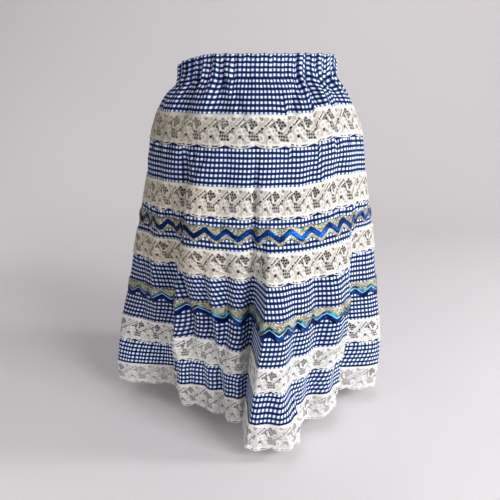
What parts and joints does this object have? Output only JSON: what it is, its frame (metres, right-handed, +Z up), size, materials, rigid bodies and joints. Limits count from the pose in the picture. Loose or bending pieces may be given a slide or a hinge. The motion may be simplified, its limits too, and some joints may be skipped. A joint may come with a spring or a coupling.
{
  "type": "gathered folk skirt",
  "caption": "Hollow gathered gingham skirt standing as worn, with an elastic waist, lace bands between its tiers, metallic rickrack and a scalloped lace hem.",
  "frame": {"origin": "the middle of the waist opening, at half the height of the elastic casing, where the wearer's waist holds the skirt", "axes": "+Z up through the waist, the front of the skirt faces -Y, +X to the right in the front view"},
  "size_m": [0.6091, 0.5716, 0.7501],
  "materials": {
    "gingham": "matt woven cotton in small navy and white checks",
    "lace": "matt off-white cotton lace with open flower motifs",
    "gold_braid": "glittering pale gold metallic yarn",
    "blue_braid": "shiny royal blue metallic yarn with turquoise glints"
  },
  "bodies": {
    "root": {"waistband": "gingham", "tier_1_front": "gingham", "tier_1_back": "gingham", "tier_2_front": "gingham", "tier_2_back": "gingham", "tier_3_front": "gingham", "tier_3_back": "gingham", "tier_4_front": "gingham", "tier_4_back": "gingham", "tier_5_front": "gingham", "tier_5_back": "gingham", "lace_1_front": "lace", "lace_1_back": "lace", "lace_2_front": "lace", "lace_2_back": "lace", "lace_3_front": "lace", "lace_3_back": "lace", "lace_4_front": "lace", "lace_4_back": "lace", "lace_5_front": "lace", "lace_5_back": "lace", "rickrack_gold_1": "gold_braid", "rickrack_blue_1": "blue_braid", "rickrack_gold_2": "gold_braid", "rickrack_blue_2": "blue_braid"}
  },
  "joints": []
}
